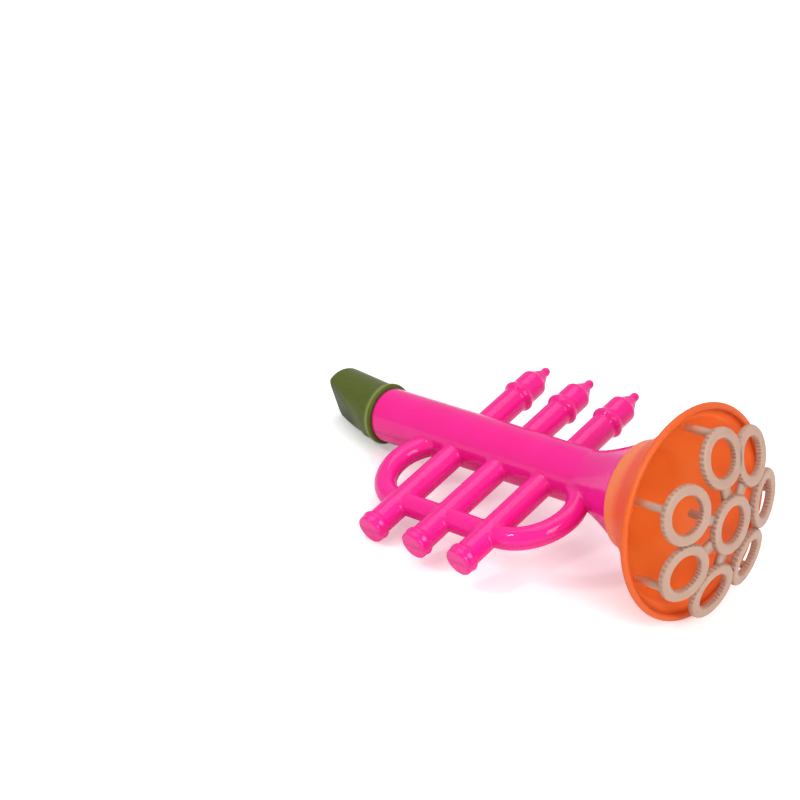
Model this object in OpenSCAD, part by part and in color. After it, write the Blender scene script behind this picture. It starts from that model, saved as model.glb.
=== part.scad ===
// Bubble blower trumpet, lying at rest on its bell rim, its rear valve foot and its mouthpiece.
// The trumpet is drawn along +X, bell mouth first, with the valve caps towards +Y and the
// tubing loop towards -Y. The module lying() then tips it into its rest position, so that +Z is up.
// The origin is the centre of the bell mouth. All sizes are in millimetres.

/* [Body tube] */
// Outside diameter of the straight tube
tube_d = 16.8; // [15:0.1:19]
// Wall of the moulded tube
tube_wall = 1.2; // [0.8:0.1:1.6]
// Straight tube behind the rear valve
tail_len = 33.8; // [28:0.1:45]
// Rounding of the shoulder behind the mouthpiece
shoulder_round = 1.6; // [0.8:0.1:2]
// Diameter of the spigot that carries the mouthpiece
spigot_d = 11.5; // [10.5:0.1:12]
// Length of that spigot
spigot_len = 8; // [6:0.5:9]
// Length over which the tube flares up to the bell
flare_len = 18.6; // [15:0.1:22]
// Power of the flare's curve, where 1 is a straight cone
flare_power = 1.35; // [1.1:0.05:1.8]

/* [Valves] */
// Distance from the bell mouth to the front valve
valve_front = 48.8; // [46:0.1:56]
// Distance from valve to valve
valve_pitch = 17.45; // [15:0.05:22]
// Stem diameter at the tube
stem_root_d = 7.7; // [7:0.1:7.8]
// Stem diameter at the foot
stem_end_d = 7.8; // [7.7:0.1:8.4]
// Diameter of the foot's flange
foot_d = 9.3; // [8.9:0.1:11]
// Length of the foot, flange and end disc together
foot_len = 4; // [3.6:0.1:5]
// Rounding of the flange
foot_round = 1.3; // [0.8:0.1:1.5]
// Diameter of the disc at the foot's end
disc_d = 8.7; // [8.2:0.1:9]
// Rounding of the disc's edge
disc_round = 0.5; // [0.2:0.1:0.8]
// Distance from the bore's axis to the end of a foot
foot_reach = 45; // [41:0.1:52]
// Diameter of the rod under a valve cap
rod_d = 8.3; // [7:0.1:9]
// Diameter of the bead round that rod
collar_d = 10; // [9.2:0.1:11.5]
// Length of the bead
collar_len = 3.2; // [2.4:0.1:4]
// Distance from the bore's axis to the middle of the bead
collar_reach = 23; // [20:0.1:26]
// Diameter of the valve cap
cap_d = 8.6; // [7.6:0.1:9.2]
// Length of the cap's barrel between its bead and its cone
cap_len = 7; // [5:0.1:9]
// Rounding of the cap's shoulder
cap_round = 1.6; // [0.8:0.1:2]
// Length of the cap's cone
cone_len = 3.4; // [2:0.1:5]
// Diameter of the button at the tip
button_d = 2.8; // [2.2:0.1:3.6]
// Length of the button
button_len = 2.6; // [1.8:0.1:4]

/* [Tubing loop] */
// Diameter of the loop's tubing
loop_d = 6.7; // [5:0.1:7.2]
// Distance from the bore's axis to the loop's long side
loop_reach = 31.2; // [29.5:0.1:34]
// Radius of the bows at both ends of the loop
bow_r = 14.8; // [13:0.1:16]
// Straight run of the loop from the front valve to its bow
bow_run = 2.4; // [0:0.1:3]

/* [Mouthpiece] */
// Length from the lip to the tip
mouth_len = 23.6; // [21.5:0.1:28]
// Diameter behind the lip
mouth_d = 17.4; // [17:0.1:18.4]
// Diameter at the tip
tip_d = 15.9; // [14:0.1:16.8]
// Diameter of the lip
lip_d = 18.6; // [18.4:0.1:20]
// Length of the lip
lip_len = 2.4; // [1.6:0.1:3.2]
// Gap between the lip and the tube's shoulder
lip_gap = 0.8; // [0.4:0.1:1.6]
// Bend of the beak towards the valve caps, in degrees
beak_bend = 8.5; // [0:0.5:10]
// Thickness of the beak's end
beak_t = 11.7; // [10.6:0.1:13]
// Slope of the beak's flat against its own axis, in degrees
beak_slope = 15.5; // [14:0.5:20]
// Rounding of the beak's end
beak_round = 1.4; // [0.6:0.1:1.8]
// Diameter of the blow hole
blow_d = 4.5; // [3.8:0.1:4.6]

/* [Bell] */
// Length from the mouth to the edge on the flare
bell_len = 18.4; // [16.5:0.1:21]
// Outside diameter over the rim's bead
rim_d = 61.5; // [58:0.5:66]
// Diameter of the bead
bead_d = 2; // [1.7:0.1:3]
// Outside diameter at the edge on the flare
neck_d = 32; // [31:0.1:34]
// Step from the bell's edge down to the flare
edge_step = 0.4; // [0.2:0.1:0.7]
// Wall, measured square to the axis
bell_wall = 1.6; // [1.2:0.1:2]
// Slope of the bell's outline at the flare, in degrees
neck_slope = 13; // [8:0.5:18]
// Slope of the bell's outline at the rim, in degrees
rim_slope = 36.5; // [30:0.5:44]
// Length of the plug by which the bell sits in the flare
plug_len = 12.5; // [8:0.1:13]
// Wall of the plug
plug_wall = 1; // [0.8:0.1:1.4]

/* [Ring head] */
// Distance from the axis to the centres of the outer rings, as a share of the rim's diameter
ring_orbit_share = 0.316; // [0.308:0.002:0.326]
// How deep neighbouring rings run into each other
ring_merge = 0.3; // [0.2:0.05:0.8]
// Width of a ring's bar
ring_bar = 3.3; // [2.6:0.1:3.5]
// Thickness of a ring
ring_t = 2.4; // [2:0.1:3]
// Rounding of a ring's edges
ring_round = 0.7; // [0.4:0.1:0.8]
// Distance from the bell mouth to the front of the middle ring
head_stand = 13; // [11:0.1:15]
// How far the outer rings stand behind the middle one
dome_drop = 2.6; // [1.8:0.1:3.4]
// Lean of the outer rings, in degrees
ring_lean = 14; // [10:0.5:18]
// Turn of the first ring round the axis, from +Y towards +Z, in degrees
head_angle = 136; // [0:0.5:360]
// Turn of the last ring away from the first, which leaves a gap there, in degrees
gap_turn = 7; // [0:0.5:8]
// Dip of the head in the bell, front down, in degrees
head_dip = 3.4; // [0:0.1:4]
// Swing of the head in the bell, front towards the valve caps, in degrees
head_swing = 2.3; // [0:0.1:3]
// Width of the spokes between the middle ring and the others
spoke_w = 2.8; // [2:0.1:3.6]
// Thickness of the spokes
spoke_t = 1.6; // [1.2:0.1:1.8]
// Diameter of the legs and of the stub
leg_d = 2.3; // [1.8:0.1:2.6]
// How far the legs reach behind the bell mouth
leg_depth = 1.2; // [0.6:0.1:2.4]
// Length of the stub behind the middle ring
stub_len = 7.6; // [5:0.1:8.4]

/* [Fits] */
// Radial clearance of the push fits
push_clear = 0.05; // [0.02:0.01:0.1]
// Gap between a leg's end and the bell
leg_clear = 0.2; // [0.1:0.05:0.4]

/* [Hidden] */
$fn = 48;
overrun = 1;
curve_steps = 14;
edge_sweep_angle = 60;
arc_steps = 6;

pink = "#f7298f";
green = "#566b2b";
orange = "#f4692b";
milk = "#d9c8ba";

tube_r = tube_d / 2;
spigot_r = spigot_d / 2;
neck_r = neck_d / 2;
stem_root_r = stem_root_d / 2;
stem_end_r = stem_end_d / 2;
foot_r = foot_d / 2;
disc_r = disc_d / 2;
rod_r = rod_d / 2;
cap_r = cap_d / 2;
button_r = button_d / 2;
bead_r = bead_d / 2;
rim_r = rim_d / 2 - bead_r;
mouth_r = mouth_d / 2;
tip_r = tip_d / 2;
lip_r = lip_d / 2;
leg_r = leg_d / 2;

// Stations along the axis, from the bell mouth backwards
x_neck = -bell_len;
x_flare = x_neck - flare_len;
valve_x = [for (i = [2:-1:0]) -valve_front - i * valve_pitch];
x_shoulder = valve_x[0] - tail_len;
x_spigot_end = x_shoulder - spigot_len;
x_lip = x_shoulder - lip_gap;

// The head's seven outer rings: their middle planes, their turns and which of them have a leg
rings = 7;
x_middle_ring = head_stand - ring_t / 2;
x_outer_ring = x_middle_ring - dome_drop;
ring_step = 360 / rings;
ring_angle = [for (k = [0:rings - 1]) head_angle + k * ring_step - (k == rings - 1 ? gap_turn : 0)];
ring_orbit = rim_d * ring_orbit_share;
ring_r = ring_orbit * sin(ring_step / 2) + ring_merge / 2;
ring_middle_r = ring_r - ring_bar / 2;
legged = [for (k = [0:rings - 1]) k != 2 && k != rings - 2];
spoke_lean = atan(dome_drop / ring_orbit);

// Rest position: bell rim, rear valve foot and mouthpiece lie on one plane
tip_x = x_lip - mouth_len * cos(beak_bend);
tip_y = mouth_len * sin(beak_bend);
foot_edge_y = foot_reach - disc_round;
foot_edge_r = disc_r - disc_round;
function pitch_for(side) = asin((rim_r + bead_r - tip_r + side * tip_y) / -tip_x);
function side_for(pitch) =
    let (drop = rim_r * cos(pitch) + bead_r + valve_x[0] * sin(pitch) - disc_round)
    sin(asin(drop / norm([foot_edge_y, foot_edge_r])) - atan(foot_edge_r / foot_edge_y));
first_side = side_for(pitch_for(0));
rest_pitch = pitch_for(first_side);
rest_roll = asin(side_for(rest_pitch) / cos(rest_pitch));

// Points of an arc, from one angle to another
function arc(middle, r, from, to) =
    [for (i = [0:arc_steps]) let (a = from + (to - from) * i / arc_steps) middle + r * [cos(a), sin(a)]];

// Outside radius of the moulded flare, t running from the straight tube to the bell
function flare_r(t) = tube_r + (neck_r - edge_step - tube_r) * pow(t, flare_power);

// Inside radius of the flare, and of the bell's plug that sits in it
function flare_bore_r(t) = flare_r(t) - tube_wall;
function plug_bore_r(t) = flare_bore_r(t) - push_clear - plug_wall;

// Outside radius of the bell, t running from its neck to its rim
function bell_r(t) =
    neck_r * (2 * pow(t, 3) - 3 * pow(t, 2) + 1)
    + bell_len * tan(neck_slope) * (pow(t, 3) - 2 * pow(t, 2) + t)
    + rim_r * (3 * pow(t, 2) - 2 * pow(t, 3))
    + bell_len * tan(rim_slope) * (pow(t, 3) - pow(t, 2));

// Rise of that outline, per unit of length
function bell_rise(t) =
    6 * (rim_r - neck_r) / bell_len * (t - pow(t, 2))
    + tan(neck_slope) * (3 * pow(t, 2) - 4 * t + 1)
    + tan(rim_slope) * (3 * pow(t, 2) - 2 * t);

// Inside radius of the bell, which runs smoothly into the plug's
neck_wall = neck_r - plug_bore_r(1);
function bell_bore_r(t) = bell_r(t) - bell_wall - (neck_wall - bell_wall) * pow(1 - t, 2);

// Legs run from the middle of a ring's bar, at its outermost point, to just inside the bell's wall
x_leg_start = x_outer_ring - ring_middle_r * sin(ring_lean);
leg_start_orbit = ring_orbit + ring_middle_r * cos(ring_lean);
x_leg_end = -leg_depth;
leg_t = 1 - leg_depth / bell_len;
leg_end_orbit = bell_r(leg_t) - bell_wall - (leg_r + leg_clear) * norm([1, bell_rise(leg_t)]);

// Tilt of the head in the bell, for points and for solids
function dipped(p) =
    [p[0] * cos(head_dip) + p[2] * sin(head_dip), p[1], p[2] * cos(head_dip) - p[0] * sin(head_dip)];
function swung(p) =
    [p[0] * cos(head_swing) - p[1] * sin(head_swing),
     p[0] * sin(head_swing) + p[1] * cos(head_swing), p[2]];
function leg_start(k) =
    let (a = ring_angle[k])
    swung(dipped([x_leg_start, leg_start_orbit * cos(a), leg_start_orbit * sin(a)]));
module tilted() rotate([0, head_dip, head_swing]) children();

// A profile of [radius, distance] points turned round the X axis
module turn_x(points) rotate([0, 90, 0]) rotate_extrude() polygon(points);

// The same round the Y axis, at one station of the tube
module turn_y(x, towards, points)
    translate([x, 0, 0]) rotate([-90 * towards, 0, 0]) rotate_extrude() polygon(points);

// Tips the trumpet into its rest position
module lying() rotate([rest_roll, -rest_pitch, 0]) children();

flare_steps = [for (i = [1:curve_steps]) i / curve_steps];
tube_outline = concat(
    [[spigot_r, x_spigot_end], [spigot_r, x_shoulder], [tube_r - shoulder_round, x_shoulder]],
    arc([tube_r - shoulder_round, x_shoulder + shoulder_round], shoulder_round, -90, 0),
    [[tube_r, x_flare]],
    [for (t = flare_steps) [flare_r(t), x_flare + t * flare_len]]
);

// What the tube fills up to its outside, used to seat the valves and the loop on it
module tube_envelope() turn_x(concat([[0, x_spigot_end]], tube_outline, [[0, x_neck]]));

// Straight tube with the mouthpiece spigot and the flare for the bell, open from end to end
module body_tube() color(pink) turn_x(concat(
    [[spigot_r - tube_wall, x_spigot_end]],
    tube_outline,
    [for (i = [curve_steps:-1:0]) let (t = i / curve_steps) [flare_bore_r(t), x_flare + t * flare_len]],
    [[tube_r - tube_wall, x_shoulder + shoulder_round],
     [spigot_r - tube_wall, x_shoulder]]
));

foot_start = foot_reach - foot_len;

// Outline of a stem from the bore's axis to the end of its foot
stem_outline = concat(
    [[0, 0], [stem_root_r, 0], [stem_root_r, tube_r], [stem_end_r, foot_start]],
    arc([foot_r - foot_round, foot_start + foot_round], foot_round, -edge_sweep_angle, edge_sweep_angle),
    [[disc_r, foot_start + 2 * foot_round]],
    arc([disc_r - disc_round, foot_reach - disc_round], disc_round, 0, 90),
    [[0, foot_reach]]
);

module stem_envelope(i) turn_y(valve_x[i], -1, stem_outline);

// Round stem with a flanged foot on the loop's side of the tube
module valve_stem(i) color(pink) difference() {
    stem_envelope(i);
    tube_envelope();
}

cap_start = collar_reach + collar_len / 2;
cap_shoulder = cap_start + cap_len;
button_start = cap_shoulder + cone_len;
button_round_share = 0.8;
button_round = button_r * button_round_share;

// Outline of a valve cap from the bore's axis to its button
cap_outline = concat(
    [[0, 0], [rod_r, 0], [rod_r, collar_reach - collar_len / 2]],
    [for (t = flare_steps) [rod_r + (collar_d / 2 - rod_r) * sin(180 * t) + (cap_r - rod_r) * t,
                            collar_reach + (t - 1 / 2) * collar_len]],
    arc([cap_r - cap_round, cap_shoulder - cap_round], cap_round, 0, edge_sweep_angle),
    [[button_r, button_start], [button_r, button_start + button_len - button_round]],
    arc([button_r - button_round, button_start + button_len - button_round], button_round, 0, 90),
    [[0, button_start + button_len]]
);

// Rod with its bead, cap, cone and button on the far side of the tube
module valve_cap(i) color(pink) difference() {
    turn_y(valve_x[i], 1, cap_outline);
    tube_envelope();
}

// Hooks by which the bows come back, halfway into the tube
hook_r = loop_reach - bow_r - tube_r / 2;

// One bow of the loop: a quarter turn out of the long side, then a hook into the tube
module loop_bow(x, turn) translate([x, bow_r - loop_reach, 0]) rotate([0, turn, 0]) {
    rotate([0, 0, -90]) rotate_extrude(angle = 90) translate([bow_r, 0]) circle(d = loop_d);
    translate([bow_r - hook_r, 0, 0]) rotate_extrude(angle = 90) translate([hook_r, 0]) circle(d = loop_d);
}

// Tubing that leaves the tube behind the rear valve, crosses the stems and comes back at the flare
module tubing_loop() color(pink) difference() {
    union() {
        loop_bow(valve_x[0], 180);
        loop_bow(valve_x[2] + bow_run, 0);
        translate([valve_x[0], -loop_reach, 0]) rotate([0, 90, 0])
            cylinder(d = loop_d, h = valve_x[2] + bow_run - valve_x[0]);
    }
    tube_envelope();
    for (i = [0:2]) stem_envelope(i);
}

// Outline of the beak round its own axis, from the lip to the tip
skirt_len = 2 * lip_len;
beak_outline = concat(
    [[0, lip_len / 2], [mouth_r, lip_len / 2]],
    arc([tip_r - beak_round, mouth_len - beak_round], beak_round, 0, 90),
    [[0, mouth_len]]
);
socket_depth = spigot_len - lip_gap;

// Moves from the trumpet's frame to the beak's own axis, with +Z towards the tip
module beak_frame() translate([x_lip, 0, 0]) rotate([0, 0, -beak_bend]) rotate([0, -90, 0]) children();

// Push-on mouthpiece: a lip and a socket on the tube's axis, and a bent beak with one sloping flat
module mouthpiece() color(green) difference() {
    union() {
        beak_frame() rotate_extrude() polygon(beak_outline);
        turn_x([[0, x_lip - skirt_len], [mouth_r, x_lip - skirt_len], [mouth_r, x_lip - lip_len],
                [lip_r, x_lip - lip_len / 2], [lip_r, x_lip], [0, x_lip]]);
    }
    beak_frame() translate([0, tip_r - beak_t, mouth_len]) rotate([-beak_slope, 0, 0])
        translate([-mouth_d, -2 * mouth_d, -2 * mouth_len]) cube([2 * mouth_d, 2 * mouth_d, 3 * mouth_len]);
    translate([x_lip - socket_depth, 0, 0]) rotate([0, 90, 0])
        cylinder(r = spigot_r + push_clear, h = socket_depth + overrun);
    beak_frame() cylinder(d = blow_d, h = mouth_len + overrun);
}

bell_steps = [for (i = [0:curve_steps]) i / curve_steps];
plug_start = 1 - plug_len / flare_len;
plug_steps = [for (t = bell_steps) plug_start + t * (1 - plug_start)];

// Push-in bell: a flared wall with a round bead at its rim, and a tapered plug in the tube's flare
module bell() color(orange) {
    turn_x(concat(
        [for (t = bell_steps) [bell_r(t), x_neck + t * bell_len]],
        [for (i = [curve_steps:-1:1]) [bell_bore_r(bell_steps[i]), x_neck + bell_steps[i] * bell_len]],
        [for (i = [curve_steps:-1:0]) [plug_bore_r(plug_steps[i]), x_flare + plug_steps[i] * flare_len]],
        [for (t = plug_steps) [plug_bore_r(t) + plug_wall, x_flare + t * flare_len]]
    ));
    rotate([0, 90, 0]) rotate_extrude() translate([rim_r, 0]) circle(r = bead_r);
}

// Cross-section of a ring, with rounded corners
module ring_section() {
    square([ring_bar, ring_t - 2 * ring_round], center = true);
    square([ring_bar - 2 * ring_round, ring_t], center = true);
    for (side = [-1, 1], end = [-1, 1])
        translate([side * (ring_bar / 2 - ring_round), end * (ring_t / 2 - ring_round)])
            circle(r = ring_round);
}

// A flat ring round the Z axis
module ring() rotate_extrude() translate([ring_middle_r, 0]) ring_section();

// Turns what is drawn towards +Y to the direction of outer ring k
module at_ring(k) rotate([ring_angle[k], 0, 0]) children();

// Places what is drawn round the Z axis on the axis of outer ring k
module on_outer_ring(k) at_ring(k) translate([x_outer_ring, ring_orbit, 0])
    rotate([0, 0, ring_lean]) rotate([0, 90, 0]) children();

// The slice of the head that belongs to outer ring k, up to halfway to its neighbours
module ring_slice(k) {
    back = k == 0 ? ring_angle[rings - 1] - 360 : ring_angle[k - 1];
    next = k == rings - 1 ? ring_angle[0] + 360 : ring_angle[k + 1];
    at_ring(k) rotate([90, 0, 90]) linear_extrude(2 * rim_d, center = true)
        polygon([[0, 0], [rim_d, rim_d * tan((back - ring_angle[k]) / 2)],
                 [rim_d, rim_d * tan((next - ring_angle[k]) / 2)]]);
}

// Spoke from the middle ring into outer ring k
module spoke(k) at_ring(k) translate([x_middle_ring, 0, 0]) rotate([0, 0, spoke_lean])
    translate([-spoke_t / 2, ring_middle_r, -spoke_w / 2])
        cube([spoke_t, ring_orbit - ring_middle_r, spoke_w]);

// Round leg from the back of outer ring k to the bell's wall
module leg(k) {
    start = leg_start(k);
    forward = start[0] - x_leg_end;
    outward = norm([start[1], start[2]]) - leg_end_orbit;
    rotate([atan2(start[2], start[1]), 0, 0]) translate([x_leg_end, leg_end_orbit, 0])
        rotate([0, 90, atan(outward / forward)]) {
            sphere(r = leg_r);
            cylinder(r = leg_r, h = norm([forward, outward]));
        }
}

// Middle ring with the spokes to the outer rings and the stub behind it
module middle_ring() color(milk) tilted() {
    translate([x_middle_ring, 0, 0]) rotate([0, 90, 0]) ring();
    difference() {
        for (k = [0:rings - 1]) spoke(k);
        for (k = [0:rings - 1]) on_outer_ring(k) cylinder(r = ring_r, h = ring_t, center = true);
    }
    at_ring(0) translate([x_middle_ring - ring_t / 2 - stub_len + leg_r, ring_middle_r, 0]) {
        sphere(r = leg_r);
        rotate([0, 90, 0]) cylinder(r = leg_r, h = stub_len - leg_r + ring_t / 2);
    }
}

// Outer ring k, cut square where it meets its neighbours, with its leg into the bell
module outer_ring(k) color(milk) {
    tilted() intersection() {
        on_outer_ring(k) ring();
        ring_slice(k);
    }
    if (legged[k]) leg(k);
}

lying() mouthpiece();
lying() body_tube();
lying() valve_stem(0);  // valve_stem_1
lying() valve_stem(1);  // valve_stem_2
lying() valve_stem(2);  // valve_stem_3
lying() valve_cap(0);  // valve_cap_1
lying() valve_cap(1);  // valve_cap_2
lying() valve_cap(2);  // valve_cap_3
lying() tubing_loop();
lying() bell();
lying() middle_ring();
lying() outer_ring(0);  // outer_ring_1
lying() outer_ring(1);  // outer_ring_2
lying() outer_ring(2);  // outer_ring_3
lying() outer_ring(3);  // outer_ring_4
lying() outer_ring(4);  // outer_ring_5
lying() outer_ring(5);  // outer_ring_6
lying() outer_ring(6);  // outer_ring_7
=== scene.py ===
import math
import bpy
import numpy as np
from mathutils import Euler, Matrix, Vector


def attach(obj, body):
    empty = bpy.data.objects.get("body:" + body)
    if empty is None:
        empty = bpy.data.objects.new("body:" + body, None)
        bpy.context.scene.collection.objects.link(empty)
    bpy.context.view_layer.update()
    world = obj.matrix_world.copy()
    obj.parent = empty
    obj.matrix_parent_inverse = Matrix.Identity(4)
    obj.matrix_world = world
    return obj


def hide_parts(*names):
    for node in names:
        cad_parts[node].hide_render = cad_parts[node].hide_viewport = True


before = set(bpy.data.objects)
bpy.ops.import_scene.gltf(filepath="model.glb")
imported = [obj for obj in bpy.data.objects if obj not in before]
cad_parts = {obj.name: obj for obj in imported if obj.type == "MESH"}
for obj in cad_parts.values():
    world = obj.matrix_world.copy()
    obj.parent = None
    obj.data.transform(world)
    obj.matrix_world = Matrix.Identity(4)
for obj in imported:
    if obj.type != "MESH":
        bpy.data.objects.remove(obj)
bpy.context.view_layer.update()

# BODY: one hollow pink blow moulding. Tube, flare, valve stems, valve caps and tubing loop are blown in one
# go in a mould of two halves, so all of them run into each other with small soft hollows at the corners.
# It carries the mouthpiece on a spigot at the back, and its flare at the front takes the bell's plug.
MM = 0.001


def middle(name):
    """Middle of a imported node's corners."""
    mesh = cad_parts[name].data
    spots = np.empty(len(mesh.vertices) * 3)
    mesh.vertices.foreach_get("co", spots)
    return Vector(spots.reshape(-1, 3).mean(0))


# the trumpet's own axes as it lies: along the bore to the bell, and across to the valve caps
along = (middle("bell") - middle("body_tube")).normalized()
across = middle("valve_cap_2") - middle("valve_stem_2")
across = (across - along * across.dot(along)).normalized()
lay = Matrix((along, across, along.cross(across))).transposed()


def laid(points):
    """Points drawn straight along the trumpet in millimetres, laid down in the frame in metres."""
    return np.asarray(points, float) @ np.array(lay).T * MM


def piece(name, points, faces, material, body, slot_name, *nodes):
    """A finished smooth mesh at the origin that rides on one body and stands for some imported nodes."""
    mesh = bpy.data.meshes.new(name)
    mesh.from_pydata(points.tolist(), [], faces.tolist())
    mesh.materials.append(material)
    mesh.shade_smooth()
    shown = bpy.data.objects.new(name, mesh)
    bpy.context.scene.collection.objects.link(shown)
    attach(shown, body)
    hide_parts(*nodes)
    return shown


def joined(a, b, soft):
    """Two distance fields as one body, with a soft hollow where they meet."""
    near = np.maximum(soft - np.abs(a - b), 0) / soft
    return np.minimum(a, b) - near * near * soft / 4


def common(a, b, soft):
    """What two distance fields share, with a soft edge."""
    return -joined(-a, -b, soft)


def rounded(u, v, soft):
    """Distance field of a corner, from the distances past its two sides, rounded by a radius."""
    u, v = u + soft, v + soft
    return np.minimum(np.maximum(u, v), 0) + np.hypot(np.maximum(u, 0), np.maximum(v, 0)) - soft


def turned(radius, distance, outline_d, outline_r):
    """Distance field of an outline turned round an axis, by its radius at each distance along it."""
    steepest = 3
    rise = np.interp(distance, outline_d, np.gradient(outline_r, outline_d))
    slant = np.sqrt(1 + np.clip(rise, -steepest, steepest) ** 2)
    return (radius - np.interp(distance, outline_d, outline_r)) / slant


def skin(field, low, high, step):
    """Closed surface of a distance field: one point per crossed cell, drawn onto it and joined by quads."""
    rounds, probe, least_slope, reach = 5, 0.1 * step, 0.2, 0.8 * step
    axes = [np.arange(a, b + step, step) for a, b in zip(low, high)]
    size = [len(a) for a in axes]
    values = np.empty(size, np.float32)
    layer = np.stack(np.meshgrid(axes[1], axes[2], indexing="ij"), -1).reshape(-1, 2)
    for i, x in enumerate(axes[0]):
        spots = np.concatenate([np.full((len(layer), 1), x), layer], 1)
        values[i] = field(spots).reshape(size[1:])
    inside = values < 0
    count = np.zeros([n - 1 for n in size], np.int8)
    for i, j, k in np.ndindex(2, 2, 2):
        count += inside[i:size[0] - 1 + i, j:size[1] - 1 + j, k:size[2] - 1 + k]
    crossed = (count > 0) & (count < 8)
    number = np.full(crossed.shape, -1)
    number[crossed] = np.arange(crossed.sum())
    start = (np.argwhere(crossed) + 0.5) * step + np.array(low)
    points = start.copy()
    for _ in range(rounds):
        slope = np.empty_like(points)
        for i in range(3):
            shift = np.eye(3)[i] * probe
            slope[:, i] = (field(points + shift) - field(points - shift)) / (2 * probe)
        steepness = np.maximum((slope * slope).sum(1), least_slope)
        points -= (field(points) / steepness)[:, None] * slope
        points = start + np.clip(points - start, -reach, reach)
    quads = []
    for a, (b, c) in enumerate(((1, 2), (2, 0), (0, 1))):
        rows = np.moveaxis(inside, a, 0)
        edge = np.moveaxis(rows[:-1] != rows[1:], 0, a)
        at = np.argwhere(edge)
        at = at[(at[:, b] > 0) & (at[:, c] > 0)]
        back_b, back_c = np.eye(3, dtype=int)[[b, c]]
        corners = [number[tuple((at - s).T)] for s in (0 * back_b, back_b, back_b + back_c, back_c)]
        quad = np.stack(corners, 1)
        solid_first = inside[tuple(at.T)]
        quad[~solid_first] = quad[~solid_first][:, ::-1]
        quads.append(quad)
    return points, np.concatenate(quads)


# sizes in millimetres, drawn straight: x along the bore from the bell's mouth, d out from the bore
tube_r, tube_wall, tube_start_x = 8.4, 1.2, -140
shoulder_x, shoulder_round, shoulder_soft = -117.5, 1.0, 1.2
spigot_end_x, spigot_r = -125.5, 5.75
flare_x, flare_power, neck_x, neck_r, flare_steps = -37, 1.35, -18.4, 15.6, 40
valve_x = (-83.7, -66.25, -48.8)
stem_root_r, stem_end_r = 3.85, 3.9
foot_start, foot_end, foot_r, foot_round = 41, 44.97, 4.65, 1.3
disc_r, disc_round = 4.35, 0.5
rod_r, rod_end = 4.15, 21.3
rod_bead_start, rod_bead_len, rod_bead_height, rod_bead_steps = 21.4, 3.2, 0.85, 15
barrel_r, barrel_end, barrel_round, barrel_turn, barrel_steps = 4.3, 30, 1.6, math.radians(60), 8
button_d = (34.8, 35.2, 36.5, 37.2, 37.5, 37.6)
button_r = (1.55, 1.4, 1.36, 1.0, 0.5, 0)
past_button_d, past_button_r = 40, -3
loop_r, loop_reach, bow_r, bow_run = 3.35, 31.2, 14.8, 2.4
hook_r = loop_reach - bow_r - tube_r / 2
corner_soft, edge_soft = 0.4, 0.3
body_low, body_high, body_cell = (-127, -46.5, -17), (-17, 39, 17), 0.52

flare_share = np.linspace(0, 1, flare_steps)
flare_d = flare_x + flare_share * (neck_x - flare_x)
flare_outline = tube_r + (neck_r - tube_r) * flare_share ** flare_power
tube_d = np.concatenate([[tube_start_x], flare_d])
tube_outline = np.concatenate([[tube_r], flare_outline])
bore_d = np.concatenate([[tube_start_x, shoulder_x, shoulder_x + shoulder_round], flare_d, [0]])
bore_outline = np.concatenate([[spigot_r, spigot_r, tube_r], flare_outline, [neck_r]]) - tube_wall

# valve cap from the tube's axis outwards: rod, bead, barrel with a round shoulder, cone and button
swell = np.linspace(0, math.pi, rod_bead_steps)
swell_share = swell / math.pi
bend = np.linspace(0, barrel_turn, barrel_steps)
cap_d = np.concatenate([[0, rod_end], rod_bead_start + rod_bead_len * swell_share,
                        barrel_end + barrel_round * np.sin(bend), button_d, [past_button_d]])
cap_outline = np.concatenate([[rod_r, rod_r],
                              rod_r + rod_bead_height * np.sin(swell) + (barrel_r - rod_r) * swell_share,
                              barrel_r - barrel_round * (1 - np.cos(bend)), button_r, [past_button_r]])


def tube_field(p):
    """The tube with its flare, ended at the shoulder and the neck, and the spigot behind it."""
    x, y, z = p.T
    r = np.hypot(y, z)
    tube = common(turned(r, x, tube_d, tube_outline), shoulder_x - x, shoulder_soft)
    tube = common(tube, x - neck_x, edge_soft)
    spigot = np.maximum(r - spigot_r, x - shoulder_x - shoulder_round)
    return np.minimum(tube, common(spigot, spigot_end_x - x, edge_soft))


def stem_field(p, x_valve):
    """One valve stem from the bore to its foot, which has a round flange and an end disc."""
    x, y, z = p.T
    d, q = -y, np.hypot(x - x_valve, z)
    share = np.clip((d - tube_r) / (foot_start - tube_r), 0, 1)
    stem_r = stem_root_r + (stem_end_r - stem_root_r) * share
    flange_d = foot_start + foot_round
    stem = np.maximum(q - stem_r, np.maximum(-d, d - flange_d))
    flange = rounded(q - foot_r, np.abs(d - flange_d) - foot_round, foot_round)
    disc = rounded(q - disc_r, np.maximum(flange_d - d, d - foot_end), disc_round)
    return joined(np.minimum(flange, disc), stem, edge_soft)


def cap_field(p, x_valve):
    """One valve rod and its cap, from the bore outwards."""
    x, y, z = p.T
    return np.maximum(turned(np.hypot(x - x_valve, z), y, cap_d, cap_outline), -y)


def loop_field(p):
    """The tubing loop: a bar across the stems, and at each end a bow that hooks back into the tube."""
    x, y, z = p.T
    bar_start, bar_end = valve_x[0], valve_x[2] + bow_run
    near = np.hypot(np.hypot(np.clip(x, bar_start, bar_end) - x, y + loop_reach), z)
    down = bow_r - loop_reach - y
    for end_x, towards in ((bar_start, -1), (bar_end, 1)):
        out = (x - end_x) * towards
        hook_out = out - (bow_r - hook_r)
        bow = np.where(out > 0, np.hypot(np.hypot(out, down) - bow_r, z), np.inf)
        hook = np.where(hook_out > 0, np.hypot(np.hypot(hook_out, down) - hook_r, z), np.inf)
        near = np.minimum(near, np.where(down > 0, bow, hook))
    return near - loop_r


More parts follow.
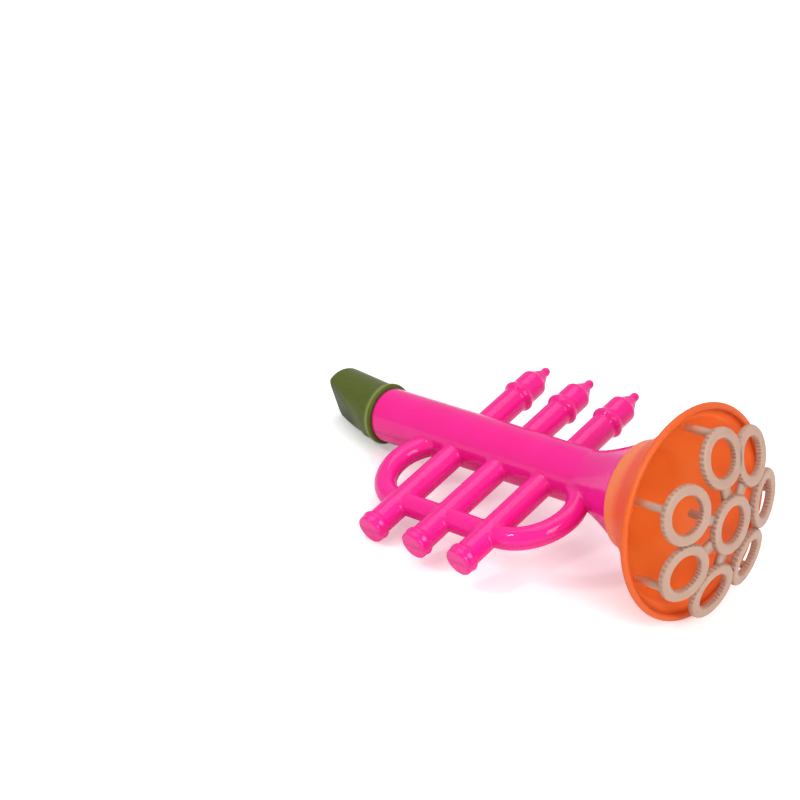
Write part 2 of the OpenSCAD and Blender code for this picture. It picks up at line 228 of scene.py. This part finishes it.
def body_field(p):
    """All forms of the moulding run together, and the bore cut out of them."""
    x, y, z = p.T
    whole = joined(tube_field(p), loop_field(p), corner_soft)
    for x_valve in valve_x:
        whole = joined(whole, stem_field(p, x_valve), corner_soft)
        whole = joined(whole, cap_field(p, x_valve), corner_soft)
    return common(whole, -turned(np.hypot(y, z), x, bore_d, bore_outline), edge_soft)


def tint(code):
    """A colour as seen on screen, as the linear values that the shaders take."""
    parts = [int(code[i:i + 2], 16) / 255 for i in (1, 3, 5)]
    return tuple(v / 12.92 if v <= 0.04045 else ((v + 0.055) / 1.055) ** 2.4 for v in parts) + (1,)


def add(tree, kind, inputs=None, **settings):
    """A node with its settings and its inputs: a socket is linked, anything else is set as the value."""
    new = tree.nodes.new(kind)
    for key, value in settings.items():
        setattr(new, key, value)
    for key, value in (inputs or {}).items():
        if isinstance(value, bpy.types.NodeSocket):
            tree.links.new(value, new.inputs[key])
        else:
            new.inputs[key].default_value = value
    return new


def shader(name):
    """An empty material, and places in the trumpet's own axes in millimetres."""
    material = bpy.data.materials.new(name)
    material.use_nodes = True
    tree = material.node_tree
    tree.nodes.clear()
    spot = add(tree, "ShaderNodeTexCoord").outputs["Object"]
    turn = lay.transposed().to_euler()
    place = add(tree, "ShaderNodeMapping", {0: spot, "Rotation": turn, "Scale": (1 / MM,) * 3})
    return material, tree, place.outputs[0]


def axis(tree, place, which):
    """One of the three numbers of a place: 0 along the bore, 1 towards the valve caps, 2 sideways."""
    return add(tree, "ShaderNodeSeparateXYZ", {0: place}).outputs[which]


def reckon(tree, operation, *values):
    """A sum of one to three numbers."""
    return add(tree, "ShaderNodeMath", dict(enumerate(values)), operation=operation).outputs[0]


def noise(tree, place, scale, detail):
    """Soft unevenness, by its waves in a millimetre and how finely they break up."""
    return add(tree, "ShaderNodeTexNoise", {"Vector": place, "Scale": scale, "Detail": detail}).outputs[0]


def ramp(tree, value, start, end, low=0.0, high=1.0, kind="LINEAR"):
    """A value brought from one range to another and held at the ends."""
    inputs = {0: value, 1: start, 2: end, 3: low, 4: high}
    return add(tree, "ShaderNodeMapRange", inputs, interpolation_type=kind).outputs[0]


def uneven(tree, speck, low, high):
    """A roughness between two values that follows the specks, most of which lie between 0.3 and 0.7."""
    return ramp(tree, speck, 0.3, 0.7, low, high)


def blend(tree, share, first, second):
    """A colour between two colours."""
    return add(tree, "ShaderNodeMix", {0: share, 6: first, 7: second}, data_type="RGBA").outputs[2]


def relief(tree, height, strength, distance):
    """The way a surface faces where a height raises it, by a strength and a distance in metres."""
    inputs = {"Height": height, "Strength": strength, "Distance": distance}
    return add(tree, "ShaderNodeBump", inputs).outputs[0]


def coated(tree, values):
    """The surface of a material, with its values and links."""
    surface = add(tree, "ShaderNodeBsdfPrincipled", values)
    add(tree, "ShaderNodeOutputMaterial", {"Surface": surface.outputs[0]})


# Glossy blow-moulded polyethylene: the soft waves of a cooled skin break up its highlights, the colour
# glows a little from within, and it is deeper and rougher along the line where the mould halves met.
line_half, line_fade, line_depth, line_rough = 0.25, 1.1, 0.35, 0.2
pink, tree, place = shader("pink polyethylene, blow-moulded")
cloud = noise(tree, place, 0.07, 2.0)
wave = noise(tree, place, 0.45, 2.0)
speck = noise(tree, place, 2.2, 3.0)
off_line = reckon(tree, "ABSOLUTE", axis(tree, place, 2))
line = ramp(tree, off_line, line_half, line_fade, 1.0, 0.0, "SMOOTHSTEP")
colour = blend(tree, cloud, tint("#F21288"), tint("#F42499"))
colour = blend(tree, reckon(tree, "MULTIPLY", line, line_depth), colour, tint("#B8064F"))
rough = reckon(tree, "MULTIPLY_ADD", line, line_rough, uneven(tree, speck, 0.09, 0.15))
coated(tree, {"Base Color": colour, "Roughness": rough, "IOR": 1.5,
              "Normal": relief(tree, wave, 0.08, 0.0006), "Specular IOR Level": 0.36,
              "Subsurface Weight": 0.08, "Subsurface Radius": (1.0, 0.25, 0.5), "Subsurface Scale": 0.002})

points, quads = skin(body_field, body_low, body_high, body_cell)
piece("body_moulding", laid(points), quads, pink, "body", "pink_plastic", "body_tube", "tubing_loop",
      *("valve_%s_%d" % (kind, n) for kind in ("stem", "cap") for n in (1, 2, 3)))

# MOUTHPIECE: a push-on cap moulded in green polyethylene. It has a rounded lip, a beak bent towards the valve
# caps with one sloping flat, a socket for the spigot and a blow hole. It sits on the spigot by friction.
lip_x, lip_face_x, lip_r, lip_len, lip_half, lip_soft = -118.3, -117.85, 9.2, 2.4, 0.55, 2.0
mouth_r, mouth_len, skirt_soft = 8.7, 23.6, 0.6
tip_r, tip_soft, beak_bend = 7.95, 1.638, math.radians(8.5)
flat_t, flat_slope, flat_soft, flat_edge = 11.7, math.radians(15.5), 1.1, 0.6
socket_r, socket_depth, socket_soft = 5.8, 7.2, 0.4
blow_r, blow_soft = 2.25, 0.5
mouth_low, mouth_high, mouth_cell = (-143.5, -10.5, -10), (-117.5, 13, 10), 0.32


def along_beak(x, y):
    """Distance along the bent beak from the lip, and height over its middle towards the valve caps."""
    d = (lip_x - x) * math.cos(beak_bend) + y * math.sin(beak_bend)
    h = (x - lip_x) * math.sin(beak_bend) + y * math.cos(beak_bend)
    return d, h


def flat_field(p):
    """Distance past the beak's flat, from its own slope and the thickness of the tip."""
    x, y, z = p.T
    d, h = along_beak(x, y)
    return -((h - tip_r + flat_t) * math.cos(flat_slope) + (mouth_len - d) * math.sin(flat_slope))


def mouthpiece_field(p):
    """Beak, skirt and lip run together, with the flat, the socket and the blow hole cut out."""
    x, y, z = p.T
    r = np.hypot(y, z)
    d, h = along_beak(x, y)
    q = np.hypot(h, z)
    taper = np.clip((d - lip_len / 2) / (mouth_len - lip_len / 2), 0, 1)
    beak = common(q - mouth_r - (tip_r - mouth_r) * taper, d - mouth_len, tip_soft)
    beak = np.maximum(beak, lip_len / 2 - d)
    skirt = np.maximum(r - mouth_r, np.maximum(lip_x - 2 * lip_len - x, x - lip_face_x))
    lip = rounded(r - lip_r, np.abs(x - lip_face_x + lip_half) - lip_half, lip_half)
    whole = joined(joined(beak, skirt, skirt_soft), lip, lip_soft)
    whole = common(whole, flat_field(p), flat_soft)
    whole = common(whole, -np.maximum(r - socket_r, lip_x - socket_depth - x), socket_soft)
    return common(whole, blow_r - q, blow_soft)


# Satin injection-moulded polyethylene: olive green with faint drag lines along the beak and a dull, darker
# flat. The paler, yellower band round the lip's outer edge is painted light on the rim, faded out before the
# lip's face.
pale_start_x, pale_full_x = lip_face_x - 1.8, lip_face_x - 0.7
pale_fade_x, pale_end_x, pale_most = lip_face_x - 0.35, lip_face_x - 0.1, 0.8
green, tree, place = shader("olive polyethylene, injection-moulded")
speck = noise(tree, place, 1.6, 4.0)
drag_place = add(tree, "ShaderNodeMapping", {0: place, "Scale": (0.08, 1.5, 1.5)}).outputs[0]
drag = noise(tree, drag_place, 1.0, 3.0)
back = axis(tree, place, 0)
# painted light round the lip's outer edge, faded out before its face
painted_lip_light = ramp(tree, back, pale_start_x, pale_full_x, 0.0, pale_most, "SMOOTHSTEP")
painted_light_before_face = ramp(tree, back, pale_fade_x, pale_end_x, 1.0, 0.0)
on_flat = add(tree, "ShaderNodeAttribute", attribute_name="flat").outputs["Fac"]
colour = blend(tree, drag, tint("#46530A"), tint("#576414"))
colour = blend(tree, reckon(tree, "MULTIPLY", painted_lip_light, painted_light_before_face), colour, tint("#86933A"))
colour = blend(tree, on_flat, colour, tint("#3C4616"))
shine = ramp(tree, on_flat, 0.0, 1.0, 0.35, 0.1)
coated(tree, {"Base Color": colour, "Roughness": uneven(tree, speck, 0.34, 0.48), "IOR": 1.5,
              "Normal": relief(tree, drag, 0.15, 0.0004), "Specular IOR Level": shine,
              "Subsurface Weight": 0.05, "Subsurface Radius": (0.6, 0.8, 0.2), "Subsurface Scale": 0.002})

points, quads = skin(mouthpiece_field, mouth_low, mouth_high, mouth_cell)
cap = piece("mouthpiece_cap", laid(points), quads, green, "mouthpiece", "green_plastic", "mouthpiece")
flat_share = np.clip(1 + flat_field(points) / flat_edge, 0, 1)
cap.data.attributes.new("flat", "FLOAT", "POINT").data.foreach_set("value", flat_share)

# BELL: a flare moulded in orange polyethylene, with a rolled bead round its mouth and a groove inside it.
# Its tapered plug is pushed into the body's flare, and the shoulder round the plug sits on the flare's end.
bell_len, bell_neck_r, bell_wall, rim_r = 18.4, 16, 1.6, 29.75
neck_slope, rim_slope = math.tan(math.radians(13)), math.tan(math.radians(36.5))
bead_r, bead_start, bead_end, bead_cover_share = 0.99, math.radians(-105), math.radians(215), 0.9
groove_depth, groove_x, groove_half = 0.5, -1.5, 0.6
plug_len, plug_wall, plug_clear = 12.5, 1, 0.05
wall_steps, bead_steps, plug_steps, round_steps = 48, 40, 24, 160


def bell_outside(t):
    """Outside radius of the bell, t running from its neck to its rim, with a slope given at each."""
    return (bell_neck_r * (2 * t ** 3 - 3 * t ** 2 + 1) + bell_len * neck_slope * (t ** 3 - 2 * t ** 2 + t)
            + rim_r * (3 * t ** 2 - 2 * t ** 3) + bell_len * rim_slope * (t ** 3 - t ** 2))


def lathe(outline, steps):
    """A closed outline of (distance, radius) points turned round the trumpet's axis."""
    distance, radius = np.asarray(outline, float).T
    count = len(outline)
    angle = np.arange(steps) * 2 * math.pi / steps
    points = np.stack([np.broadcast_to(distance, (steps, count)), np.outer(np.cos(angle), radius),
                       np.outer(np.sin(angle), radius)], -1).reshape(-1, 3)
    i, j = np.meshgrid(np.arange(steps), np.arange(count), indexing="ij")
    i2, j2 = (i + 1) % steps, (j + 1) % count
    quads = np.stack([i * count + j, i2 * count + j, i2 * count + j2, i * count + j2], -1).reshape(-1, 4)
    return points, quads


wall_t = np.linspace(0, 1, wall_steps)
wall_t = wall_t[wall_t < 1 - bead_r * bead_cover_share / bell_len]
outside = [((t - 1) * bell_len, bell_outside(t)) for t in wall_t]
bead_angle = np.linspace(bead_start, bead_end, bead_steps)
bead = [(bead_r * math.sin(a), rim_r + bead_r * math.cos(a)) for a in bead_angle]
plug_t = np.linspace(1 - plug_len / (neck_x - flare_x), 1, plug_steps)
plug_x = flare_x + plug_t * (neck_x - flare_x)
plug_r = tube_r + (neck_r - tube_r) * plug_t ** flare_power - tube_wall - plug_clear
throat_wall = bell_neck_r - plug_r[-1] + plug_wall - bell_wall
inside = []
for t in wall_t[:0:-1]:
    x = (t - 1) * bell_len
    groove = groove_depth * max(0, 1 - ((x - groove_x) / groove_half) ** 2)
    inside.append((x, bell_outside(t) - bell_wall - throat_wall * (1 - t) ** 2 + groove))
plug_inside = list(zip(plug_x, plug_r - plug_wall))[::-1]
plug_outside = list(zip(plug_x, plug_r))
outline = outside + bead + inside + plug_inside + plug_outside
hollow = np.zeros(len(outline))
hollow[len(outside) + len(bead):len(outline) - len(plug_outside)] = 1

# Satin injection-moulded polyethylene in one orange. The inside carries painted light: it is brighter and
# yellower than the outside, most of all deep in the throat where little light reaches, and redder towards the
# mouth; the outside is redder still and paler round the neck, and the bead is a little darker than both.
deep_x, shallow_x = -18.0, -3.0
neck_fade_x, neck_pale_x, neck_pale = -9.0, -17.0, 0.7
bead_fade_x, bead_full_x, bead_dark = -1.2, -0.2, 0.8
orange, tree, place = shader("orange polyethylene, injection-moulded")
front = axis(tree, place, 0)
speck = noise(tree, place, 1.2, 4.0)
cloud = noise(tree, place, 0.06, 2.0)
in_hollow = add(tree, "ShaderNodeAttribute", attribute_name="hollow").outputs["Fac"]
# painted light inside the bell: the whole inside lighter than the outside, brightest deep in the throat
painted_deep_light = ramp(tree, front, deep_x, shallow_x, 0.0, 1.0, "SMOOTHSTEP")
painted_lit_inside = blend(tree, painted_deep_light, tint("#FF8A38"), tint("#FC7028"))
at_neck = ramp(tree, front, neck_fade_x, neck_pale_x, 0.0, neck_pale, "SMOOTHSTEP")
outer = blend(tree, at_neck, blend(tree, cloud, tint("#EE561C"), tint("#F2662E")), tint("#FF9058"))
at_bead = ramp(tree, front, bead_fade_x, bead_full_x, 0.0, bead_dark, "SMOOTHSTEP")
colour = blend(tree, at_bead, blend(tree, in_hollow, outer, painted_lit_inside), tint("#D65C1E"))
coated(tree, {"Base Color": colour, "Roughness": uneven(tree, speck, 0.32, 0.46), "IOR": 1.5,
              "Normal": relief(tree, speck, 0.08, 0.0004), "Specular IOR Level": 0.3,
              "Subsurface Weight": 0.12, "Subsurface Radius": (1.0, 0.45, 0.15), "Subsurface Scale": 0.001})

points, quads = lathe(outline, round_steps)
bell = piece("bell_flare", laid(points), quads, orange, "bell", "orange_plastic", "bell")
bell.data.attributes.new("hollow", "FLOAT", "POINT").data.foreach_set("value", np.tile(hollow, round_steps))

# RING HEAD: one moulding in natural milky polypropylene. Seven leaning rings stand round a middle one, with
# ribs round their walls that hold the bubble liquid. Legs behind five of them stand inside the bell.
rings, ring_orbit, ring_r, ring_bar, ring_t, ring_round = 7, 19.434, 8.582, 3.3, 2.4, 1.0
middle_x, outer_x, ring_lean = 11.8, 9.2, math.radians(14)
head_angle, gap_turn = math.radians(136), math.radians(7)
head_dip, head_swing = math.radians(3.4), math.radians(2.3)
spoke_w, spoke_t, stub_end_x = 2.8, 1.6, 3.0
leg_r, leg_end_share, leg_root_share = 1.15, 0.85, 1.3
leg_end_x, leg_end_orbit, legged = -1.2, 25.492, (0, 1, 3, 4, 6)
rib_count, rib_height, rib_start_share, rib_full_share = 34, 0.5, 0.3, 0.5
rib_front_z, rib_full_z = 1.0, 0.4
ring_steps, section_steps, round_corner_steps = rib_count * 8, 28, 4
leg_steps, leg_sides = 14, 20
ring_middle_r = ring_r - ring_bar / 2

# lines from the legs' ends in the bell to their rings, and one for the stub behind the middle ring
tilt = Euler((0, head_dip, head_swing)).to_matrix()
step_angle = 2 * math.pi / rings
leg_lines = []
for k in legged:
    angle = head_angle + k * step_angle - (gap_turn if k == rings - 1 else 0)
    out = Vector((0, math.cos(angle), math.sin(angle)))
    root = tilt @ (Vector((outer_x - ring_middle_r * math.sin(ring_lean), 0, 0))
                   + out * (ring_orbit + ring_middle_r * math.cos(ring_lean)))
    leg_out = Vector((0, root.y, root.z)).normalized()
    leg_lines.append((Vector((leg_end_x, 0, 0)) + leg_out * leg_end_orbit, root))
out = Vector((0, math.cos(head_angle), math.sin(head_angle)))
leg_lines.append([tilt @ (Vector((x, 0, 0)) + out * ring_middle_r) for x in (stub_end_x, middle_x)])
lines = bpy.data.meshes.new("leg_lines")
lines.from_pydata([tuple(end) for line in leg_lines for end in line],
                  [(2 * i, 2 * i + 1) for i in range(len(leg_lines))], [])
head = bpy.data.objects.new("ring_head", lines)
bpy.context.scene.collection.objects.link(head)

# Natural polypropylene, injection-moulded: milky, so light spreads inside. Its beige tone is partly its own
# and partly painted orange bounce light from the bell, and towards the back, most of all on the legs inside
# the bell, it turns orange with more painted bounce light.
painted_bounce_start_x, painted_bounce_full_x, painted_bounce_most = 6.5, -1.0, 0.75
milky, tree, place = shader("milky polypropylene, injection-moulded")
cloud = noise(tree, place, 0.12, 3.0)
speck = noise(tree, place, 1.8, 4.0)
# painted orange bounce light from the bell, growing towards the legs' ends
painted_bounce = ramp(tree, axis(tree, place, 0), painted_bounce_start_x, painted_bounce_full_x, 0.0, painted_bounce_most, "SMOOTHSTEP")
colour = blend(tree, painted_bounce, blend(tree, cloud, tint("#AC8877"), tint("#B89A88")), tint("#DC7E4E"))
coated(tree, {"Base Color": colour, "Roughness": uneven(tree, speck, 0.42, 0.55), "IOR": 1.49,
              "Normal": relief(tree, speck, 0.1, 0.0003),
              "Subsurface Weight": 0.5, "Subsurface Radius": (1.0, 0.8, 0.65), "Subsurface Scale": 0.002})

nodes = bpy.data.node_groups.new("ring head", "GeometryNodeTree")
nodes.interface.new_socket("Geometry", in_out="INPUT", socket_type="NodeSocketGeometry")
sizes = {"Ring middle radius": ring_middle_r, "Ring bar": ring_bar, "Ring thickness": ring_t,
         "Ring rounding": ring_round, "Ring orbit": ring_orbit, "Middle ring place": middle_x,
         "Outer ring place": outer_x, "Ring lean": ring_lean, "First ring turn": head_angle,
         "Gap turn": gap_turn, "Head dip": head_dip, "Head swing": head_swing, "Spoke width": spoke_w,
         "Spoke thickness": spoke_t, "Leg radius": leg_r, "Rib height": rib_height}
sockets = {}
for key in sizes:
    sockets[key] = nodes.interface.new_socket(key, in_out="INPUT", socket_type="NodeSocketFloat").identifier
nodes.interface.new_socket("Geometry", in_out="OUTPUT", socket_type="NodeSocketGeometry")
given = nodes.nodes.new("NodeGroupInput").outputs


def made(kind, inputs=None, **settings):
    """The first output of a new node in the ring head's tree."""
    return add(nodes, kind, inputs, **settings).outputs[0]


def sum_of(operation, *values):
    """A sum of one to three numbers in the ring head's tree."""
    return reckon(nodes, operation, *values)


def vector_of(x=0.0, y=0.0, z=0.0):
    """Three numbers of the tree as one vector."""
    return made("ShaderNodeCombineXYZ", {0: x, 1: y, 2: z})


# one ring round its own Z axis: a rounded bar swept round a circle, with ribs on its walls towards the back
bar, circle_r = given["Ring bar"], given["Ring middle radius"]
section = made("GeometryNodeCurvePrimitiveQuadrilateral", {"Width": bar, "Height": given["Ring thickness"]})
section = made("GeometryNodeFilletCurve", {"Curve": section, "Radius": given["Ring rounding"],
                                           "Count": round_corner_steps}, mode="POLY")
section = made("GeometryNodeResampleCurve", {"Curve": section, "Count": section_steps})
circle = made("GeometryNodeCurvePrimitiveCircle", {"Resolution": ring_steps, "Radius": circle_r})
ring = made("GeometryNodeCurveToMesh", {"Curve": circle, "Profile Curve": section})
spot_x, spot_y, spot_z = add(nodes, "ShaderNodeSeparateXYZ", {0: made("GeometryNodeInputPosition")}).outputs
flat_r = sum_of("SQRT", sum_of("ADD", sum_of("MULTIPLY", spot_x, spot_x), sum_of("MULTIPLY", spot_y, spot_y)))
off_circle = sum_of("SUBTRACT", flat_r, circle_r)
rib = sum_of("PINGPONG", sum_of("MULTIPLY", sum_of("ARCTAN2", spot_y, spot_x), rib_count / math.pi), 1.0)
on_wall = ramp(nodes, sum_of("ABSOLUTE", off_circle), sum_of("MULTIPLY", bar, rib_start_share),
               sum_of("MULTIPLY", bar, rib_full_share))
behind = ramp(nodes, spot_z, rib_front_z, rib_full_z)
dent = sum_of("MULTIPLY", sum_of("MULTIPLY", rib, given["Rib height"]), sum_of("MULTIPLY", on_wall, behind))
into_bar = sum_of("MULTIPLY", dent, sum_of("MULTIPLY", sum_of("SIGN", off_circle), -1.0))
shift_share = sum_of("DIVIDE", into_bar, flat_r)
shift = made("ShaderNodeVectorMath", {0: vector_of(spot_x, spot_y), "Scale": shift_share}, operation="SCALE")
ring = made("GeometryNodeSetPosition", {"Geometry": ring, "Offset": shift})

# the angle of each outer ring: even steps, but the last one is turned back, which leaves a gap beside it
number = made("GeometryNodeInputIndex")
last = sum_of("COMPARE", number, rings - 1.0, 0.1)
turn = sum_of("SUBTRACT", sum_of("MULTIPLY", number, step_angle), sum_of("MULTIPLY", last, given["Gap turn"]))
turn = sum_of("ADD", given["First ring turn"], turn)
out_y, out_z = sum_of("COSINE", turn), sum_of("SINE", turn)


def at_turn(x, reach):
    """A vector for each outer ring: along the head's axis, and out from it at the ring's own angle."""
    return vector_of(x, sum_of("MULTIPLY", out_y, reach), sum_of("MULTIPLY", out_z, reach))


# seven rings on the orbit, each leaning outwards, and the middle one
orbit, outer_place, middle_place = given["Ring orbit"], given["Outer ring place"], given["Middle ring place"]
facing = at_turn(sum_of("COSINE", given["Ring lean"]), sum_of("SINE", given["Ring lean"]))
face_turn = made("FunctionNodeAlignRotationToVector", {"Vector": facing}, axis="Z")
seven = made("GeometryNodePoints", {"Count": rings, "Position": at_turn(outer_place, orbit)})
outer = made("GeometryNodeInstanceOnPoints", {"Points": seven, "Instance": ring, "Rotation": face_turn})
middle_ring = made("GeometryNodeTransform", {"Geometry": ring, "Translation": vector_of(middle_place),
                                             "Rotation": (0, math.pi / 2, 0)})

# spokes from the middle ring's bar into the outer rings' bars
spoke_len = sum_of("SUBTRACT", orbit, sum_of("MULTIPLY", circle_r, 2.0))
spoke_x = sum_of("MULTIPLY", sum_of("ADD", middle_place, outer_place), 0.5)
spoke_at = at_turn(spoke_x, sum_of("MULTIPLY", orbit, 0.5))
spoke_way = at_turn(sum_of("SUBTRACT", outer_place, middle_place), orbit)
along_spoke = made("FunctionNodeAlignRotationToVector", {"Vector": spoke_way}, axis="Y")
spoke_turn = made("FunctionNodeAlignRotationToVector", {"Rotation": along_spoke, "Vector": (1, 0, 0)},
                  axis="X", pivot_axis="Y")
spoke_size = vector_of(given["Spoke thickness"], spoke_len, given["Spoke width"])
spoke = made("GeometryNodeMeshCube", {"Size": spoke_size, "Vertices X": 2, "Vertices Y": 4, "Vertices Z": 3})
spots = made("GeometryNodePoints", {"Count": rings, "Position": spoke_at})
spokes = made("GeometryNodeInstanceOnPoints", {"Points": spots, "Instance": spoke, "Rotation": spoke_turn})

# the whole dome tilted as it sits in the bell, then the legs and the stub along their lines
dome = add(nodes, "GeometryNodeJoinGeometry")
for part in (outer, middle_ring, spokes):
    nodes.links.new(part, dome.inputs[0])
dip = vector_of(0.0, given["Head dip"], given["Head swing"])
dome = made("GeometryNodeTransform", {"Geometry": dome.outputs[0], "Rotation": dip})
leg_curve = made("GeometryNodeMeshToCurve", {0: given["Geometry"]})
leg_curve = made("GeometryNodeResampleCurve", {"Curve": leg_curve, "Count": leg_steps})
leg_scale = ramp(nodes, made("GeometryNodeSplineParameter"), 0.0, 1.0, leg_end_share, leg_root_share)
leg_curve = made("GeometryNodeSetCurveRadius", {"Curve": leg_curve, "Radius": leg_scale})
leg_round = made("GeometryNodeCurvePrimitiveCircle", {"Resolution": leg_sides, "Radius": given["Leg radius"]})
legs = made("GeometryNodeCurveToMesh", {"Curve": leg_curve, "Profile Curve": leg_round, "Fill Caps": True})
whole = add(nodes, "GeometryNodeJoinGeometry")
for part in (dome, legs):
    nodes.links.new(part, whole.inputs[0])
whole = made("GeometryNodeRealizeInstances", {0: whole.outputs[0]})
add(nodes, "NodeGroupOutput", {0: made("GeometryNodeSetMaterial", {"Geometry": whole, "Material": milky})})

maker = head.modifiers.new("ring head", "NODES")
maker.node_group = nodes
for key, value in sizes.items():
    maker[sockets[key]] = float(value)
bpy.context.view_layer.update()
grown = head.evaluated_get(bpy.context.evaluated_depsgraph_get())
baked = bpy.data.meshes.new_from_object(grown)
head.modifiers.clear()
head.data = baked
bpy.data.meshes.remove(lines)
baked.transform(lay.to_4x4() @ Matrix.Scale(MM, 4))
baked.shade_smooth()
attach(head, "ring_head")
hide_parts("middle_ring", *("outer_ring_%d" % n for n in range(1, rings + 1)))

# STAGE: a white paper sheet under the trumpet, white surroundings, two soft lamps and a small crisp one.
# The camera stands where the photo was taken from. Places are in metres in the frame.
floor_z, floor_half, paper_white, floor_lift = -0.03034, 3, 0.95, 0.32
room_light, room_seen = 0.54, 1.0
camera_spot, camera_turn = (0.289965, -0.423238, 0.317869), (60.436, -2.276, 44.804)
camera_lens, camera_sensor = 99, 36


def seen(tree):
    """1 for what the camera looks at, 0 for the light that falls on the trumpet."""
    return add(tree, "ShaderNodeLightPath").outputs["Is Camera Ray"]


floor_mesh = bpy.data.meshes.new("floor")
corners = ((-1, -1), (1, -1), (1, 1), (-1, 1))
floor_mesh.from_pydata([(x * floor_half, y * floor_half, floor_z) for x, y in corners], [], [(0, 1, 2, 3)])
floor = bpy.data.objects.new("floor", floor_mesh)
bpy.context.scene.collection.objects.link(floor)
white = bpy.data.materials.new("white paper sheet")
white.use_nodes = True
tree = white.node_tree
tree.nodes.clear()
paper = add(tree, "ShaderNodeBsdfDiffuse", {"Color": (paper_white, paper_white, paper_white, 1)})
glow = add(tree, "ShaderNodeEmission", {"Strength": ramp(tree, seen(tree), 0.0, 1.0, 0.0, floor_lift)})
sheet = add(tree, "ShaderNodeAddShader", {0: paper.outputs[0], 1: glow.outputs[0]})
add(tree, "ShaderNodeOutputMaterial", {"Surface": sheet.outputs[0]})
floor_mesh.materials.append(white)

world = bpy.data.worlds.new("white room")
bpy.context.scene.world = world
world.use_nodes = True
tree = world.node_tree
tree.nodes.clear()
level = ramp(tree, seen(tree), 0.0, 1.0, room_light, room_seen)
room = add(tree, "ShaderNodeBackground", {"Color": (1, 1, 1, 1), "Strength": level})
add(tree, "ShaderNodeOutputWorld", {"Surface": room.outputs[0]})


def lamp(name, watts, size, spot, aim):
    """A square lamp at a place, turned to a point."""
    light = bpy.data.lights.new(name, "AREA")
    light.energy, light.size = watts, size
    hung = bpy.data.objects.new(name, light)
    hung.location = spot
    hung.rotation_euler = (Vector(aim) - Vector(spot)).to_track_quat("-Z", "Y").to_euler()
    bpy.context.scene.collection.objects.link(hung)


lamp("soft lamp", watts=3.1, size=0.8, spot=(-0.3, 0.1, 0.95), aim=(-0.06, 0, 0))
lamp("front lamp", watts=1.5, size=0.3, spot=(0.37, -0.12, 0.26), aim=(0, 0, 0))
lamp("crisp lamp", watts=1.3, size=0.11, spot=(-0.375, -0.546, 0.645), aim=(-0.06, 0, 0))

lens = bpy.data.cameras.new("camera")
lens.lens, lens.sensor_width = camera_lens, camera_sensor
camera = bpy.data.objects.new("camera", lens)
camera.location = camera_spot
camera.rotation_euler = [math.radians(v) for v in camera_turn]
bpy.context.scene.collection.objects.link(camera)
bpy.context.scene.camera = camera
bpy.context.scene.view_settings.view_transform = "Standard"
